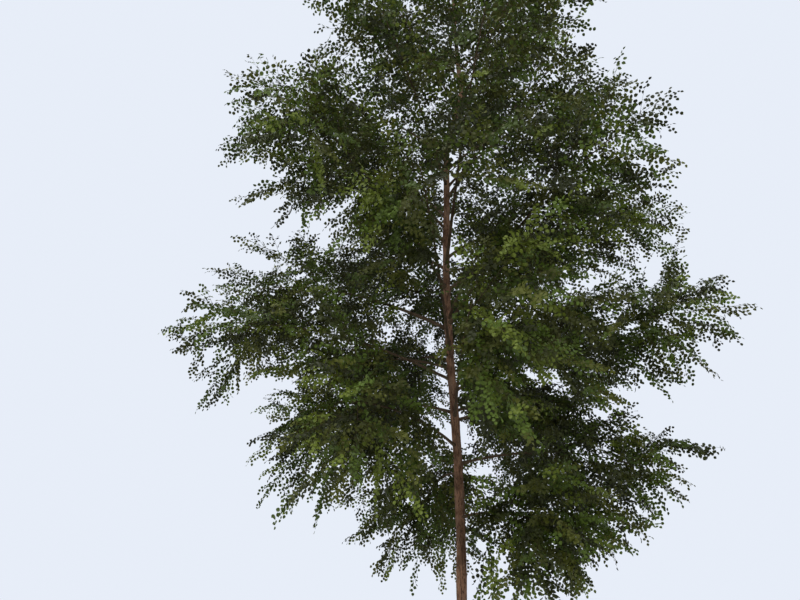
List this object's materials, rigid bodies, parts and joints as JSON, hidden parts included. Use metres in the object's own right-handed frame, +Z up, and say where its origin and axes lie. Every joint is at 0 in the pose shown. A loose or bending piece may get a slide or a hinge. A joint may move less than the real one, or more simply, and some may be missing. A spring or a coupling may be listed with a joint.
{
  "type": "indian rosewood tree",
  "caption": "Slender rooted broadleaf tree with a swaying trunk, long arching boughs and loose layered masses of small round leaflets, foliage hanging low on one side.",
  "frame": {"origin": "centre of the flat cut under the trunk, at ground level", "axes": "+Z up along the trunk; +X towards the side where the crown stands open and hangs low; -Y towards the side from which the trunk shows"},
  "size_m": [7.6931, 7.4246, 14.093],
  "materials": {
    "trunk_bark": "rough brown bark with shallow furrows and peeling strips",
    "bough_bark": "smoother grey brown bark",
    "foliage": "soft satin leaves on thin grey brown twigs"
  },
  "bodies": {
    "root": {"trunk": "trunk_bark", "bough_01": "bough_bark", "bough_02": "bough_bark", "bough_03": "bough_bark", "bough_04": "bough_bark", "bough_05": "bough_bark", "bough_06": "bough_bark", "bough_07": "bough_bark", "bough_08": "bough_bark", "bough_09": "bough_bark", "bough_10": "bough_bark", "foliage_01": "foliage", "foliage_02": "foliage", "foliage_03": "foliage", "foliage_04": "foliage", "foliage_05": "foliage", "foliage_06": "foliage", "foliage_07": "foliage", "foliage_08": "foliage", "foliage_09": "foliage", "foliage_10": "foliage", "foliage_11": "foliage", "foliage_12": "foliage", "foliage_13": "foliage", "foliage_14": "foliage", "foliage_15": "foliage", "foliage_16": "foliage", "foliage_17": "foliage", "foliage_18": "foliage", "foliage_19": "foliage", "foliage_20": "foliage", "foliage_21": "foliage", "foliage_22": "foliage", "foliage_23": "foliage", "foliage_24": "foliage", "foliage_25": "foliage", "foliage_26": "foliage", "foliage_27": "foliage", "foliage_28": "foliage", "foliage_29": "foliage", "foliage_30": "foliage", "foliage_31": "foliage", "foliage_32": "foliage", "foliage_33": "foliage", "foliage_34": "foliage", "foliage_35": "foliage", "foliage_36": "foliage", "foliage_37": "foliage", "foliage_38": "foliage", "foliage_39": "foliage", "foliage_40": "foliage", "foliage_41": "foliage", "foliage_42": "foliage", "foliage_43": "foliage", "foliage_44": "foliage"}
  },
  "joints": []
}
